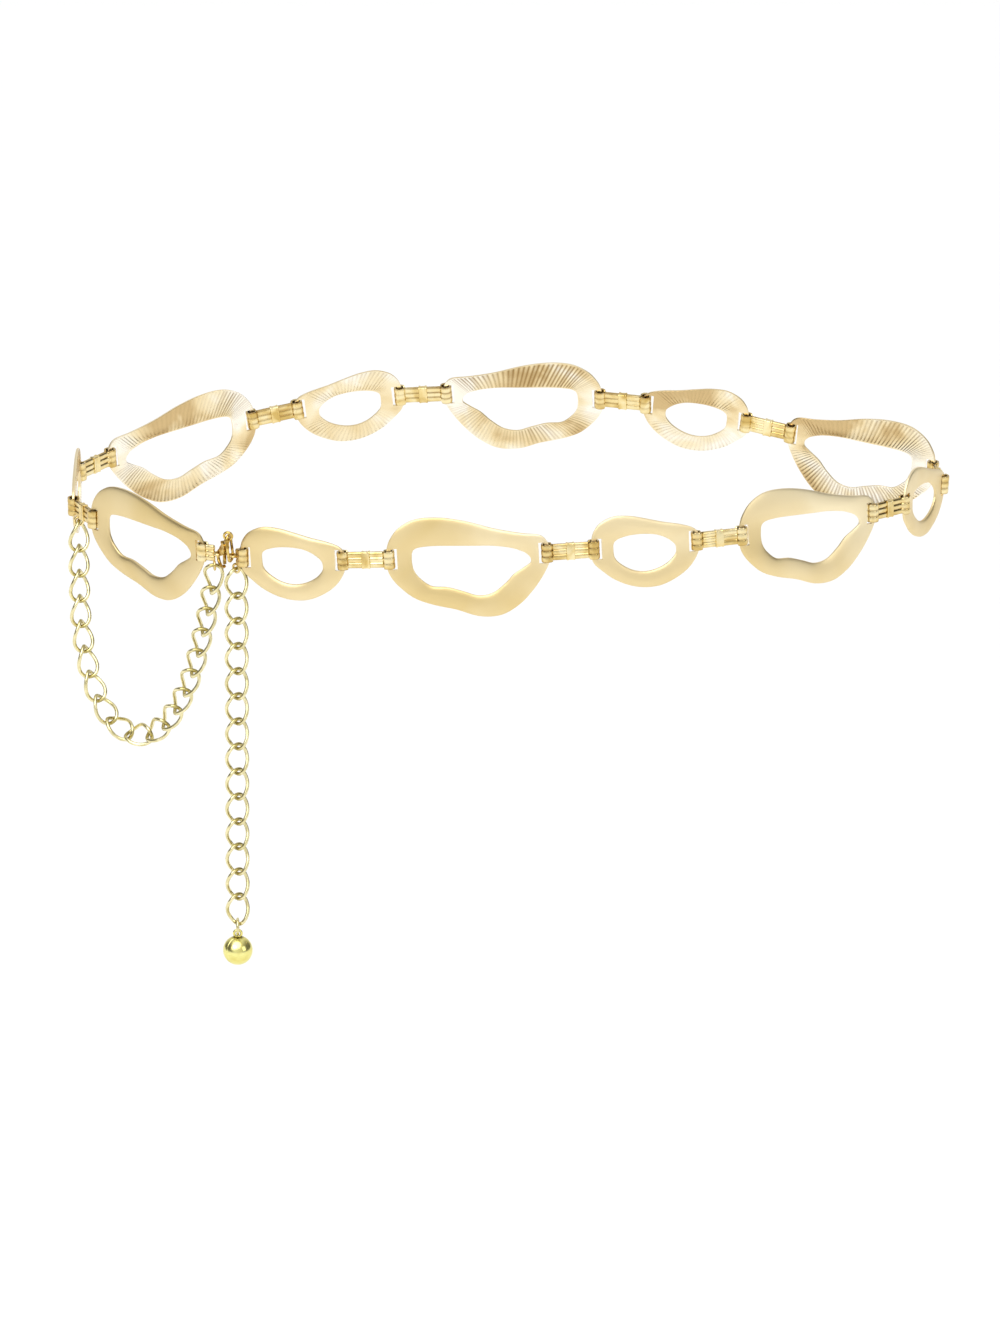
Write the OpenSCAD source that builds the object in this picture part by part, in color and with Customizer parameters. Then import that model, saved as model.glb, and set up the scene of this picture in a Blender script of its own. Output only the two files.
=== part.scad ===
// Waist chain: twelve open plates on ribbed straps, closed by a lobster clasp, with a swag of
// twisted chain and a hanging chain that ends in a ball.
// Millimetres, +Z up. The origin is the middle of the waist, at the height of the hinge lines.
// Travel round the loop starts at the plate right of the clasp, goes right along the front,
// and comes back along the rear. Every plate has its wide end first.

/* [Plates] */
// Length of a large plate from hinge line to hinge line
large_l = 55; // [50:0.5:60]
// Height of a large plate
large_h = 36; // [31:0.5:41]
// Length of a small plate from hinge line to hinge line
small_l = 36.6; // [33:0.2:41]
// Height of a small plate
small_h = 26.4; // [24:0.2:31]
// Thickness of a plate
plate_t = 1.1; // [0.8:0.05:1.3]
// How far the middle of a plate's band stands out
dome_h = 0.5; // [0.2:0.1:1.2]
// Width of the rim between a slot and the plate's end
rim_w = 1.6; // [1.4:0.1:2.2]
// Width of a slot, from the rim inwards
slot_w = 2.1; // [1.8:0.1:2.4]
// Angle by which the plates' tops lean in to the waist
lean = 5; // [0:1:8]

/* [Connectors] */
// Length of a strap connector from hinge line to hinge line
connector_l = 16.2; // [14:0.2:19]
// Height of the strap
strap_h = 6.4; // [5:0.1:7]
// Thickness of the strap's two folded layers
strap_t = 1.5; // [1.2:0.1:1.8]
// Thickness of the metal round each eye
eye_wall = 0.75; // [0.6:0.05:0.9]
// Clearance between an eye and the corners of the rim that it holds
eye_play = 0.45; // [0.35:0.01:0.5]
// Clearance above and below a strap in its slot
slot_play = 0.55; // [0.5:0.05:0.9]
// Length of the raised collar at the middle of a strap
collar_l = 3; // [2:0.1:4]
// Thickness of the collar
collar_t = 2.4; // [2:0.1:3]
// Depth of the grooves between the three ribs
groove_d = 0.15; // [0.05:0.01:0.25]
// Width of those grooves
groove_w = 0.35; // [0.2:0.05:0.6]

/* [Closure] */
// Distance between the middles of the two end loops that the clasp joins
loops_apart = 5.8; // [5.6:0.1:8]
// Length of the half strap on the left, from its hinge line to its end
half_a_l = 5; // [4.6:0.1:5.4]
// Length of the half strap on the right, from its hinge line to its end
half_b_l = 2.9; // [2.7:0.1:3.1]
// Radius of the soldered end loops, to the middle of the wire
loop_r = 1.5; // [1.4:0.05:1.7]
// Wire of the end loops
loop_wire = 1; // [0.8:0.05:1.1]
// Radius of the clasp's claw, to the middle of its wire
claw_r = 3; // [2.8:0.05:3.3]
// Wire of the claw
claw_wire = 1.2; // [1:0.05:1.3]
// Thickness of the clasp's body
clasp_t = 2.2; // [2:0.1:2.6]
// Thickness of the clasp's lever
gate_t = 1; // [0.8:0.05:1.1]
// Clearance round the lever and its pin
gate_play = 0.15; // [0.1:0.01:0.2]
// Diameter of the hinge pin
pin_d = 0.8; // [0.6:0.05:0.9]
// Wire of the oval link on the clasp's tail
tail_wire = 1; // [0.8:0.05:1]

/* [Chain] */
// Distance from link to link
pitch = 9.36; // [9:0.02:10]
// Wire of a link
wire = 1.3; // [1.1:0.05:1.4]
// Width of a link over its wire
link_w = 8.5; // [7.5:0.1:9.5]
// Clearance between two links
link_play = 0.3; // [0.25:0.01:0.35]
// Twist of each half of a link
twist = 45; // [40:1:50]
// Links in the swag
swag_links = 19; // [16:1:22]
// How much closer together than the pitch the swag's links sit, not being pulled taut
swag_slack = 0.4; // [0.3:0.05:0.5]
// Angle by which the swag's links are turned from facing the front
swag_turn = 40; // [0:5:50]
// Links in the hanging chain
drop_links = 14; // [8:1:20]
// Radius of the eyelets that the chains hang from, to the middle of the wire
eyelet_r = 1.5; // [1.4:0.05:1.6]
// Wire of the eyelets
eyelet_wire = 0.9; // [0.7:0.05:1]
// Clearance between an eyelet and the link that hangs in it
eyelet_play = 0.35; // [0.3:0.01:0.4]

/* [Ball] */
// Diameter of the ball
ball_d = 10.4; // [8:0.2:14]
// Radius of the ring above the ball, to the middle of the wire
ring_r = 2.6; // [2.4:0.1:3.2]
// Wire of that ring
ring_wire = 1.1; // [0.9:0.05:1.2]
// Radius of the loop on the ball, to the middle of the wire
ball_loop_r = 1.3; // [1.25:0.05:1.6]
// Wire of the loop on the ball
ball_loop_wire = 0.9; // [0.7:0.05:1]

/* [Hidden] */

$fn = 48;
satin_gold = "#E8CB84";
bright_gold = "#EFD58F";
chain_gold = "#D9C06C";

// Guide points of the loop, chosen by hand, from the plate right of the clasp round to the clasp.
loop_route = [
  [-91, -75, -1], [-7, -91, 5.5], [80, -77, 7.5], [134, -40, 4], [151, -6, -1], [149, 14, -2.3],
  [111, 33, 1.5], [43, 51, 9.5], [-42, 63, 7], [-114, 50, -3.5], [-151, 18, -6], [-143.5, -28, -4.5]
];
plates = 12;
hinges = 2 * plates;
closure_seg = hinges - 1;

// Sections round a large plate, from the wide end over the top to the narrow end and back below.
// Columns: outer edge along and up, inner edge along and up, dome. Along is a share of the whole
// length, up a share of the height above the hinge line, and dome a share of dome_h.
LARGE_RING = [
  [0.000, 0.045, 0.156, 0.020, 0.0], [0.003, 0.105, 0.158, 0.050, 0.1],
  [0.026, 0.200, 0.170, 0.084, 0.5], [0.084, 0.308, 0.206, 0.106, 0.9],
  [0.187, 0.386, 0.290, 0.114, 1.0], [0.330, 0.394, 0.410, 0.108, 1.0],
  [0.493, 0.347, 0.531, 0.100, 1.0], [0.670, 0.261, 0.654, 0.092, 1.0],
  [0.829, 0.206, 0.764, 0.064, 0.9], [0.945, 0.178, 0.841, 0.019, 0.4],
  [0.990, 0.110, 0.872, -0.020, 0.1], [1.000, 0.045, 0.882, -0.045, 0.0],
  [1.000, -0.045, 0.884, -0.068, 0.0], [0.994, -0.108, 0.877, -0.095, 0.1],
  [0.953, -0.228, 0.836, -0.139, 0.5], [0.888, -0.367, 0.774, -0.200, 0.9],
  [0.799, -0.505, 0.717, -0.289, 1.0], [0.684, -0.600, 0.638, -0.378, 1.0],
  [0.551, -0.603, 0.549, -0.397, 1.0], [0.411, -0.528, 0.460, -0.350, 1.0],
  [0.269, -0.469, 0.365, -0.303, 1.0], [0.156, -0.394, 0.267, -0.283, 1.0],
  [0.066, -0.272, 0.198, -0.200, 0.8], [0.020, -0.175, 0.166, -0.125, 0.4],
  [0.003, -0.105, 0.157, -0.065, 0.1], [0.000, -0.045, 0.155, -0.022, 0.0]
];

// The same for a small plate.
SMALL_RING = [
  [0.000, 0.060, 0.204, 0.020, 0.0], [0.004, 0.140, 0.208, 0.055, 0.1],
  [0.030, 0.245, 0.222, 0.085, 0.5], [0.095, 0.350, 0.262, 0.118, 0.9],
  [0.219, 0.420, 0.345, 0.146, 1.0], [0.369, 0.409, 0.440, 0.155, 1.0],
  [0.518, 0.356, 0.528, 0.148, 1.0], [0.668, 0.295, 0.606, 0.129, 1.0],
  [0.822, 0.245, 0.683, 0.083, 0.8], [0.935, 0.190, 0.742, 0.023, 0.4],
  [0.988, 0.125, 0.773, -0.025, 0.1], [1.000, 0.055, 0.781, -0.060, 0.0],
  [1.000, -0.055, 0.783, -0.095, 0.0], [0.994, -0.125, 0.780, -0.132, 0.1],
  [0.955, -0.245, 0.762, -0.178, 0.5], [0.882, -0.370, 0.712, -0.250, 0.9],
  [0.770, -0.480, 0.634, -0.312, 1.0], [0.626, -0.560, 0.538, -0.350, 1.0],
  [0.469, -0.568, 0.444, -0.348, 1.0], [0.322, -0.515, 0.356, -0.308, 1.0],
  [0.193, -0.420, 0.281, -0.240, 1.0], [0.095, -0.305, 0.232, -0.175, 0.8],
  [0.030, -0.215, 0.212, -0.125, 0.4], [0.004, -0.140, 0.206, -0.080, 0.1],
  [0.000, -0.060, 0.204, -0.030, 0.0]
];
ring_steps = 2;

// Link of the chain: path stations, and sides of its wire
link_stations = 16;
wire_sides = 6;

loop_sink = loop_wire / 4;
closure_l = half_a_l + half_b_l + 2 * (loop_r - loop_sink) + loops_apart;

eye_r = norm([rim_w / 2, plate_t / 2]) + eye_play;
eye_out = eye_r + eye_wall;
slot_h = strap_h + 2 * slot_play;

// Smooth closed curve through a list of rows, at s counted in rows
function row(list, i) = list[(i + 2 * len(list)) % len(list)];
function smooth(list, s) =
  let (i = floor(s), t = s - i, a = row(list, i - 1), b = row(list, i), c = row(list, i + 1),
       d = row(list, i + 2))
  0.5 * (2 * b + (c - a) * t + (2 * a - 5 * b + 4 * c - d) * t * t
  + (3 * b - a - 3 * c + d) * t * t * t);

function unit(v) = v / norm(v);
function across(v, along) = unit(v - along * (v * along));

// Lengths of the segments in travel order: plate, connector, plate, ... and the closure last
function is_large(i) = i % 4 == 2;
function seg_l(i) = i == closure_seg ? closure_l : i % 2 == 1 ? connector_l : is_large(i) ? large_l : small_l;

// Steps of given lengths along a curve: each point lies at its exact distance from the one before
bisections = 26;
reach = 1.5;
function next_s(curve, p, len, lo, hi, n) =
  let (mid = (lo + hi) / 2)
  n == 0 ? mid
  : norm(curve(mid) - p) < len ? next_s(curve, p, len, mid, hi, n - 1)
  : next_s(curve, p, len, lo, mid, n - 1);
function walk(curve, lens, s, i = 0, out = []) =
  let (all = concat(out, [s]))
  i == len(lens) ? all
  : walk(curve, lens, next_s(curve, curve(s), lens[i], s, s + reach, bisections), i + 1, all);
// The size of a curve at which the last step ends at s = to. make(k) is the curve of size k.
function fitted(make, lens, from, to, lo, hi, n) =
  let (mid = (lo + hi) / 2)
  n == 0 ? mid
  : walk(make(mid), lens, from)[len(lens)] > to ? fitted(make, lens, from, to, mid, hi, n - 1)
  : fitted(make, lens, from, to, lo, mid, n - 1);

// Hinge points: the guide is scaled so that the last segment ends where the first one starts
SEG_LENS = [for (i = [0 : closure_seg]) seg_l(i)];
guide = function (k) function (s) k * smooth(loop_route, s);
guide_scale = fitted(guide, SEG_LENS, 0, len(loop_route), 0.8, 1.3, bisections);
HINGES = [for (s = walk(guide(guide_scale), SEG_LENS, 0)) guide(guide_scale)(s)];

// Directions of each segment: along, up and in, with the ups evened out between neighbours
ALONG = [for (i = [0 : closure_seg]) unit(HINGES[(i + 1) % hinges] - HINGES[i])];
// A sharp turn pulls the ups of both its segments to the axis that it turns about
function way(i) = ALONG[(i + hinges) % hinges];
standing = 0.6;
function first_up(i) =
  let (in_dir = unit(cross([0, 0, 1], way(i))), upright = [0, 0, cos(lean)] + in_dir * sin(lean))
  across(standing * upright + cross(way(i - 1), way(i)) + cross(way(i), way(i + 1)), way(i));
function even_ups(ups, n) =
  n == 0 ? ups
  : even_ups([for (i = [0 : closure_seg])
      across(ups[(i + closure_seg) % hinges] + 2 * ups[i] + ups[(i + 1) % hinges], ALONG[i])], n - 1);
ups_passes = 4;
UPS = even_ups([for (i = [0 : closure_seg]) first_up(i)], ups_passes);

function frame(i) = frame_of(HINGES[i], ALONG[i], UPS[i]);
// Matrix of a place: x along, z up, y to the inside of the waist
function frame_of(p, x, z) =
  let (y = cross(z, x))
  [[x[0], y[0], z[0], p[0]], [x[1], y[1], z[1], p[1]], [x[2], y[2], z[2], p[2]], [0, 0, 0, 1]];
function put(m, v) = let (r = m * [v[0], v[1], v[2], 1]) [r[0], r[1], r[2]];
function turn(m, v) = let (r = m * [v[0], v[1], v[2], 0]) [r[0], r[1], r[2]];

// A closed tube of sections, each a ring of as many points
function tube_points(sections) = [for (s = sections) each s];
function tube_faces(n, m) = [for (i = [0 : n - 1], j = [0 : m - 1])
  let (a = i * m + j, b = i * m + (j + 1) % m, c = ((i + 1) % n) * m + (j + 1) % m,
       d = ((i + 1) % n) * m + j)
  each [[a, c, b], [a, d, c]]];
module closed_tube(sections) {
  polyhedron(points = tube_points(sections), faces = tube_faces(len(sections), len(sections[0])));
}

// Plates

function plate_section(row, l, h) =
  let (whole = l + rim_w, out_x = row[0] * whole - rim_w / 2, in_x = row[2] * whole - rim_w / 2,
       out_z = row[1] * h, in_z = row[3] * h, mid_x = (out_x + in_x) / 2, mid_z = (out_z + in_z) / 2,
       t = plate_t / 2, bulge = row[4] * dome_h)
  [[out_x, -t, out_z], [mid_x, -t - bulge, mid_z], [in_x, -t, in_z],
   [in_x, t, in_z], [mid_x, t - bulge, mid_z], [out_x, t, out_z]];

module slot(x) {
  translate([x, 0, 0]) cube([slot_w, 4 * plate_t, slot_h], center = true);
}

module plate(ring, l, h) {
  rows = len(ring);
  difference() {
    closed_tube([for (i = [0 : rows * ring_steps - 1]) plate_section(smooth(ring, i / ring_steps), l, h)]);
    slot(rim_w / 2 + slot_w / 2);
    slot(l - rim_w / 2 - slot_w / 2);
  }
}

module plate_small(k) {
  color(satin_gold) multmatrix(frame(4 * (k - 1))) plate(SMALL_RING, small_l, small_h);
}

module plate_large(k) {
  color(satin_gold) multmatrix(frame(4 * k - 2)) plate(LARGE_RING, large_l, large_h);
}

// Strap connectors

module strap_outline(l, inset) {
  circle(eye_out - inset);
  translate([l, 0]) circle(eye_out - inset);
  translate([eye_r, inset - strap_t / 2]) square([l - 2 * eye_r, strap_t - 2 * inset]);
  translate([(l - collar_l) / 2, inset - collar_t / 2]) square([collar_l, collar_t - 2 * inset]);
}

module half_outline(l, inset) {
  circle(eye_out - inset);
  translate([eye_r, inset - strap_t / 2]) square([l - eye_r, strap_t - 2 * inset]);
}

rib_h = (strap_h - 2 * groove_w) / 3;

// The hole of an eye, longer than the strap is high so that it cuts clean through
module eye_hole(x) {
  translate([x, 0, 0]) cylinder(2 * strap_h, eye_r, eye_r, center = true);
}

// Three ribs with grooves between them
module ribbed_half(l) {
  difference() {
    union() {
      linear_extrude(strap_h, center = true) half_outline(l, groove_d);
      for (k = [-1 : 1])
        translate([0, 0, k * (rib_h + groove_w)]) linear_extrude(rib_h, center = true) half_outline(l, 0);
    }
    eye_hole(0);
  }
}

module ribbed_strap(l) {
  difference() {
    union() {
      linear_extrude(strap_h, center = true) strap_outline(l, groove_d);
      for (k = [-1 : 1])
        translate([0, 0, k * (rib_h + groove_w)]) linear_extrude(rib_h, center = true) strap_outline(l, 0);
    }
    eye_hole(0);
    eye_hole(l);
  }
}

module wire_ring(r, w) {
  rotate_extrude() translate([r, 0]) circle(d = w);
}

// Eyelets under the straps, with their holes facing along a given direction
eyelet_sink = 0.25;
eyelet_drop = strap_h / 2 + eyelet_r - eyelet_sink;
swag_start_x = 4;
module eyelet(x, heading) {
  translate([x, 0, -eyelet_drop]) rotate([0, 0, heading]) rotate([0, 90, 0]) wire_ring(eyelet_r, eyelet_wire);
}

module connector(k) {
  color(bright_gold) multmatrix(frame(2 * k - 1)) {
    ribbed_strap(connector_l);
    if (k == plates - 1) eyelet(swag_start_x, start_heading);
  }
}

// Closure: both half straps end in a soldered loop that lies level

module end_loop(l) {
  translate([l + loop_r - loop_sink, 0, 0]) wire_ring(loop_r, loop_wire);
}

loop_a_x = half_a_l + loop_r - loop_sink;
loop_b_x = loop_a_x + loops_apart;
swag_end_x = half_a_l - eyelet_wire / 2;
drop_x = closure_l - half_b_l;

module half_strap_a() {
  color(bright_gold) multmatrix(frame(closure_seg)) {
    ribbed_half(half_a_l);
    end_loop(half_a_l);
    eyelet(swag_end_x, end_heading);
  }
}

module half_strap_b() {
  color(bright_gold) multmatrix(frame(closure_seg)) {
    translate([closure_l, 0, 0]) mirror([1, 0, 0]) {
      ribbed_half(half_b_l);
      end_loop(half_b_l);
    }
    eyelet(drop_x, drop_heading);
  }
}

// Lobster clasp, drawn flat: x across, y up its length, z its thickness. The claw's middle is at
// the origin and the claw's left side passes through the left half strap's loop.
clasp_turn = 35;
clasp_lift = -0.3;
clasp_lean = 12;
claw_from = 70;
claw_to = 320;
root_at = [1.2, 3.8];
root_r = 1.6;
tail_at = [3.3, 8.9];
tail_r = 0.95;
tail_t = 1.1;
thick_share = 0.4;
thick_r = 1.2;
tail_eye_at = [3.9, 10.8];
tail_eye_r = 1.4;
tail_eye_wire = 0.9;
pin_at = [1.95, 3.1];
hub_r = 0.85;
gate_w = 1;
gate_end_at = [2.35, -0.62];
tail_eye_turn = 54;
thumb_at = [-0.2, 6.2];
thumb_r = 0.6;
shoulder = [0.9, 3.4];
fork_low = 1;
fork_top = 7.6;
hub_top = pin_at[1] + hub_r + gate_play;
web_x = 2.75;
fork_slope = 1.6;
pin_proud = 0.1;

module on_clasp() {
  multmatrix(frame(closure_seg))
    translate([loop_a_x, 0, clasp_lift]) rotate([0, 0, -clasp_turn]) rotate([90, 0, 0])
      rotate([0, 0, -clasp_lean]) translate([claw_r, 0, 0]) children();
}

// Straight bar with round ends, as an outline. Its sides lie a little inside the ends' circles.
bar_waist = 0.95;
module bar(a, b, ra, rb) {
  d = unit(b - a) * bar_waist;
  side = [-d[1], d[0]];
  translate(a) circle(ra);
  translate(b) circle(rb);
  polygon([a + side * ra, b + side * rb, b - side * rb, a - side * ra]);
}

module clasp_body() {
  color(bright_gold) on_clasp() {
    difference() {
      union() {
        rotate([0, 0, claw_from]) rotate_extrude(angle = claw_to - claw_from)
          translate([claw_r, 0]) circle(d = claw_wire);
        linear_extrude(tail_t, center = true) bar(root_at, tail_at, root_r, tail_r);
        linear_extrude(clasp_t, center = true) bar(root_at, root_at + thick_share * (tail_at - root_at), root_r, thick_r);
      }
      linear_extrude(gate_t + 2 * gate_play, center = true)
        polygon([[shoulder[0], fork_low], shoulder, [-claw_r, shoulder[1] + fork_slope], [-claw_r, fork_top],
          [web_x, fork_top], [web_x, hub_top], [2 * claw_r, hub_top], [2 * claw_r, fork_low]]);
    }
    translate(pin_at) cylinder(h = clasp_t + 2 * pin_proud, d = pin_d, center = true);
    translate(tail_eye_at) rotate([0, tail_eye_turn, 0]) wire_ring(tail_eye_r, tail_eye_wire);
  }
}

module clasp_gate() {
  color(bright_gold) on_clasp()
    difference() {
      union() {
        translate(pin_at) cylinder(h = gate_t, r = hub_r, center = true);
        linear_extrude(gate_t, center = true) bar(pin_at, gate_end_at, gate_w / 2, gate_w / 2);
        linear_extrude(gate_t, center = true) bar(pin_at, thumb_at, gate_w / 2, thumb_r);
      }
      translate(pin_at) cylinder(h = 2 * gate_t, d = pin_d + 2 * gate_play, center = true);
    }
}

// Oval link from the tail eye down round the front of the right half strap's loop
CLOSURE = frame(closure_seg);
function clasp_spot(v) =
  let (x = v[0] + claw_r, out = x * cos(clasp_lean) + v[1] * sin(clasp_lean),
       up = v[1] * cos(clasp_lean) - x * sin(clasp_lean))
  [loop_a_x + out * cos(clasp_turn), -out * sin(clasp_turn), clasp_lift + up];
link_aside = 0.1;
link_inside = 0.3;
link_low = [loop_b_x + link_aside, link_inside - loop_r, -(loop_wire + tail_wire) / 2 - 2 * gate_play];
link_high = clasp_spot(tail_eye_at);
tail_link_w = 1.7;
tail_stations = 20;
tail_sides = 8;
module clasp_link() {
  way = link_high - link_low;
  along = unit(way);
  side = across([-link_aside, 1, 0], along);
  third = cross(along, side);
  color(bright_gold) multmatrix(CLOSURE)
    closed_tube([for (i = [0 : tail_stations - 1])
      let (q = (i + 0.5) * 360 / tail_stations, out_dir = side * cos(q) + along * sin(q),
           mid = link_low + along * (q < 180 ? norm(way) - tail_link_w : tail_link_w)
             + tail_link_w * out_dir)
      [for (j = [0 : tail_sides - 1])
        mid + tail_wire / 2 * (out_dir * cos(j * 360 / tail_sides) + third * sin(j * 360 / tail_sides))]]);
}

// Chain: each link spans one pitch between two points where it meets its neighbours. Its frame has
// z up along the chain and x across the flat of the link.
link_half = (pitch + wire + link_play) / 2;
link_half_w = (link_w - wire) / 2;

function twisted(p, a) = [p[0] * cos(a) - p[1] * sin(a), p[0] * sin(a) + p[1] * cos(a), p[2]];
// Middle line of a link: an oval, its upper half turned one way and its lower half the other
oval_power = 0.82;
function powered(v) = sign(v) * pow(abs(v), oval_power);
function link_path(q) = twisted([link_half_w * powered(cos(q)), 0, link_half * sin(q)], twist * sin(q));
function link_section(i) =
  let (q = i * 360 / link_stations + 0.5 * 360 / link_stations, p = link_path(q),
       along = unit(link_path(q + 1) - link_path(q - 1)),
       outward = across(twisted([cos(q), 0, sin(q)], twist * sin(q)), along), third = cross(along, outward))
  [for (j = [0 : wire_sides - 1]) p + wire / 2 * (cos(j * 360 / wire_sides) * outward
    + sin(j * 360 / wire_sides) * third)];

module chain_link(a, b, turned) {
  up = unit(a - b);
  x = across(spun(flat_of(a, b), up, turned), up);
  multmatrix(frame_of((a + b) / 2, x, up)) closed_tube([for (i = [0 : link_stations - 1]) link_section(i)]);
}

module chain(points, turned) {
  for (i = [0 : len(points) - 2]) chain_link(points[i], points[i + 1], turned);
}

// Where a chain's first link meets its eyelet
meet_drop = eyelet_drop + eyelet_r - eyelet_wire / 2 - eyelet_play + link_play / 2;
function hang_point(m, x) = put(m, [x, 0, -meet_drop]);
SWAG_FROM = hang_point(frame(closure_seg - 2), swag_start_x);
SWAG_TO = hang_point(CLOSURE, swag_end_x);
DROP_FROM = hang_point(CLOSURE, drop_x);

// The swag follows a route between its two eyelets. Columns: shares of the way across and forwards,
// and share of the depth that its links reach down to. The first and last rows only aim the ends.
SWAG_ROUTE = [
  [0.00, 0.00, -0.30], [0.00, 0.00, 0.00], [0.00, 0.05, 0.27], [0.02, 0.12, 0.55], [0.11, 0.24, 0.82],
  [0.30, 0.40, 1.00], [0.56, 0.58, 0.97], [0.78, 0.76, 0.71], [0.92, 0.90, 0.34], [1.00, 1.00, 0.00],
  [1.02, 1.03, -0.30]
];
swag_way = SWAG_TO - SWAG_FROM;
swag = function (depth) function (s)
  let (r = smooth(SWAG_ROUTE, s))
  SWAG_FROM + [r[0] * swag_way[0], r[1] * swag_way[1], r[1] * swag_way[2] - r[2] * depth];
SWAG_LENS = [for (i = [1 : swag_links]) pitch - swag_slack];
swag_end = len(SWAG_ROUTE) - 2;
swag_depth = fitted(swag, SWAG_LENS, 1, swag_end, 10, 200, bisections);
SWAG_POINTS = [for (s = walk(swag(swag_depth), SWAG_LENS, 1)) swag(swag_depth)(s)];
// The hanging chain's links face the front
function flat_of(a, b) = cross([0, 1, 0], unit(a - b));

// Headings of the eyelets' holes, in line with the end of the link that hangs there
function heading(m, dir) = atan2(dir * turn(m, [0, 1, 0]), dir * turn(m, [1, 0, 0]));
function spun(v, axis, a) = v * cos(a) + cross(unit(axis), v) * sin(a);
function end_of(a, b, angle) = spun(flat_of(a, b), a - b, angle);
start_heading = heading(frame(closure_seg - 2), end_of(SWAG_POINTS[0], SWAG_POINTS[1], swag_turn + twist));
end_heading = heading(CLOSURE, end_of(SWAG_POINTS[swag_links - 1], SWAG_POINTS[swag_links],
  swag_turn - twist));
DROP_POINTS = [for (i = [0 : drop_links]) DROP_FROM - [0, 0, i * pitch]];
drop_heading = heading(CLOSURE, end_of(DROP_POINTS[0], DROP_POINTS[1], twist));

module swag_chain() {
  color(chain_gold) chain(SWAG_POINTS, swag_turn);
}

module drop_chain() {
  color(chain_gold) chain(DROP_POINTS, 0);
}

// Ball and its ring, below the last link
DROP_END = DROP_POINTS[drop_links];
ring_z = (ring_wire + link_play) / 2 - ring_r;
loop_z = ring_z - ring_r + (ring_wire + ball_loop_wire) / 2 + link_play - ball_loop_r;
ball_z = loop_z - ball_loop_r + ball_loop_wire / 4 - ball_d / 2;

module ball_ring() {
  color(chain_gold) translate(DROP_END + [0, 0, ring_z]) rotate([0, 90, 0]) wire_ring(ring_r, ring_wire);
}

module ball() {
  color(chain_gold) translate(DROP_END) {
    translate([0, 0, ball_z]) sphere(d = ball_d);
    translate([0, 0, loop_z]) rotate([90, 0, 0]) wire_ring(ball_loop_r, ball_loop_wire);
  }
}

plate_small(1);  // plate_small_1
plate_small(2);  // plate_small_2
plate_small(3);  // plate_small_3
plate_small(4);  // plate_small_4
plate_small(5);  // plate_small_5
plate_small(6);  // plate_small_6
plate_large(1);  // plate_large_1
plate_large(2);  // plate_large_2
plate_large(3);  // plate_large_3
plate_large(4);  // plate_large_4
plate_large(5);  // plate_large_5
plate_large(6);  // plate_large_6
connector(1);  // connector_1
connector(2);  // connector_2
connector(3);  // connector_3
connector(4);  // connector_4
connector(5);  // connector_5
connector(6);  // connector_6
connector(7);  // connector_7
connector(8);  // connector_8
connector(9);  // connector_9
connector(10);  // connector_10
connector(11);  // connector_11
half_strap_a();
half_strap_b();
clasp_body();
clasp_gate();
clasp_link();
swag_chain();
drop_chain();
ball_ring();
ball();
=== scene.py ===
# %% [markdown]
# # A waist chain of open plates
# Twelve open metal plates are joined end to end by ribbed straps. A lobster clasp closes the loop,
# a swag of twisted chain hangs under the left front plate, and a second chain hangs straight down
# with a ball at its end. The construction model gives every place and size. This lesson dresses it:
# each cell makes one kind of piece in millimetres, and its last step turns the piece to metres.

# %% Load the construction model
import math

import bmesh
import bpy
from mathutils import Matrix, Vector


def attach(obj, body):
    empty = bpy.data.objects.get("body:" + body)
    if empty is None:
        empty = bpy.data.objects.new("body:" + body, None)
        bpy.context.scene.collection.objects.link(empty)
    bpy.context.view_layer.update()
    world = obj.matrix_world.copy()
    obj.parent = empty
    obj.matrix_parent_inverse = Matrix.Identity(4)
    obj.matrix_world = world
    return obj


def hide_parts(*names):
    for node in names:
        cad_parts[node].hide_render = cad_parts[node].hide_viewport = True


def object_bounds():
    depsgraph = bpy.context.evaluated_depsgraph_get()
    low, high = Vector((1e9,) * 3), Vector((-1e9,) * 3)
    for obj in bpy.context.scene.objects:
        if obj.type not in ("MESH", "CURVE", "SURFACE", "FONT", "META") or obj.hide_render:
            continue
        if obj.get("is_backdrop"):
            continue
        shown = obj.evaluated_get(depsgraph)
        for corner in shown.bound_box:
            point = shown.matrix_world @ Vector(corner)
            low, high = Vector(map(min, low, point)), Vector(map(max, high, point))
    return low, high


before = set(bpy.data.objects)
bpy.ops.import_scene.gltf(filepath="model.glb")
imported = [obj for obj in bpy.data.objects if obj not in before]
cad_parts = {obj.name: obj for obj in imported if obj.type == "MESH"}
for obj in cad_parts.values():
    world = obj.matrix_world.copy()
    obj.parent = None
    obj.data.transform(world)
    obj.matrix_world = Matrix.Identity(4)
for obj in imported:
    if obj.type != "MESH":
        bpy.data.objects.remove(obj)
CAD_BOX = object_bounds()
MM = 0.001
TURN = 2 * math.pi
print("nodes:", len(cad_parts), "box:", [tuple(round(v, 4) for v in c) for c in CAD_BOX])

# %% [markdown]
# ## The loop's route
# The plates follow a smooth closed curve round the waist. The same guide points as in the source
# give it here, so that a plate made in its own flat frame can be laid exactly where the solid is.
# A curve through points could also be a Blender spline, but then the exact step from hinge to hinge
# would be lost, so a few lines of Catmull-Rom are used instead.

# %% Smooth curves, and steps of given lengths along them
# Guide points of the loop: x to the right, y to the back, z up
LOOP_ROUTE = [
    (-91, -75, -1), (-7, -91, 5.5), (80, -77, 7.5), (134, -40, 4),
    (151, -6, -1), (149, 14, -2.3), (111, 33, 1.5), (43, 51, 9.5),
    (-42, 63, 7), (-114, 50, -3.5), (-151, 18, -6), (-143.5, -28, -4.5),
]
BISECTIONS = 26
REACH = 1.5


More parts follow.
